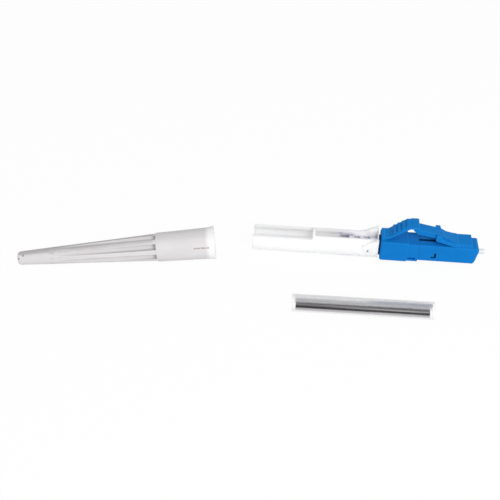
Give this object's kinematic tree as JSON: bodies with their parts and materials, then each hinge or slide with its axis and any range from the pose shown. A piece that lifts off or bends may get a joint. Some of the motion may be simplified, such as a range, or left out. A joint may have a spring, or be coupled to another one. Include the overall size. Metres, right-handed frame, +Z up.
{
  "type": "lc fibre connector",
  "caption": "Splice-on LC fibre plug with latch, trigger and floating ferrule, its open white splice body, fluted boot and clear splice sleeve, taken apart.",
  "frame": {"origin": "on the ferrule's axis, at the nose of the plug", "axes": "+X along the ferrule, out of the nose; +Z up, away from the surface that the pieces lie on; the latch is on the +Z side"},
  "size_m": [0.1103, 0.0266, 0.0102],
  "materials": {
    "blue_plastic": "satin moulded",
    "white_plastic": "satin moulded",
    "backbone_plastic": "satin moulded",
    "boot_plastic": "matt, slightly soft",
    "zirconia": "polished",
    "collar_metal": "nickel plated",
    "spring_steel": "bright drawn",
    "natural_tube": "waxy",
    "fibre_glass": "coated glass",
    "clear_tube": "clear, glossy",
    "bright_steel": "ground and polished",
    "melt_plastic": "milky, clear"
  },
  "bodies": {
    "connector": {"front_housing": "blue_plastic", "rear_clip": "blue_plastic", "backbone": "backbone_plastic", "coil_spring": "spring_steel", "splice_body": "white_plastic", "boot": "boot_plastic", "outer_tube": "clear_tube", "steel_rod": "bright_steel", "melt_tube": "melt_plastic"},
    "trigger": {"trigger_arm": "blue_plastic"},
    "latch": {"latch_arm": "blue_plastic"},
    "ferrule_unit": {"ferrule": "zirconia", "ferrule_collar": "collar_metal", "guide_tube": "natural_tube", "fibre": "fibre_glass"}
  },
  "joints": [
    {"name": "trigger_press", "type": "hinge", "parent": "connector", "child": "trigger", "pos_m": [-0.0219, 0, 0.00328], "axis": [0, 1, 0], "range_deg": [0, 10], "stiffness_Nm_per_rad": 0.2},
    {"name": "latch_press", "type": "hinge", "parent": "connector", "child": "latch", "pos_m": [-0.0052, 0, 0.0028], "axis": [0, 1, 0], "range_deg": [-8.6, 0]},
    {"name": "ferrule_float", "type": "slide", "parent": "connector", "child": "ferrule_unit", "axis": [-1, 0, 0], "range_m": [0, 0.0009], "stiffness_N_per_m": 1000, "deforming": ["coil_spring"]}
  ],
  "couplings": [
    {"joint": "latch_press", "follows": "trigger_press", "ratio": -0.84}
  ]
}
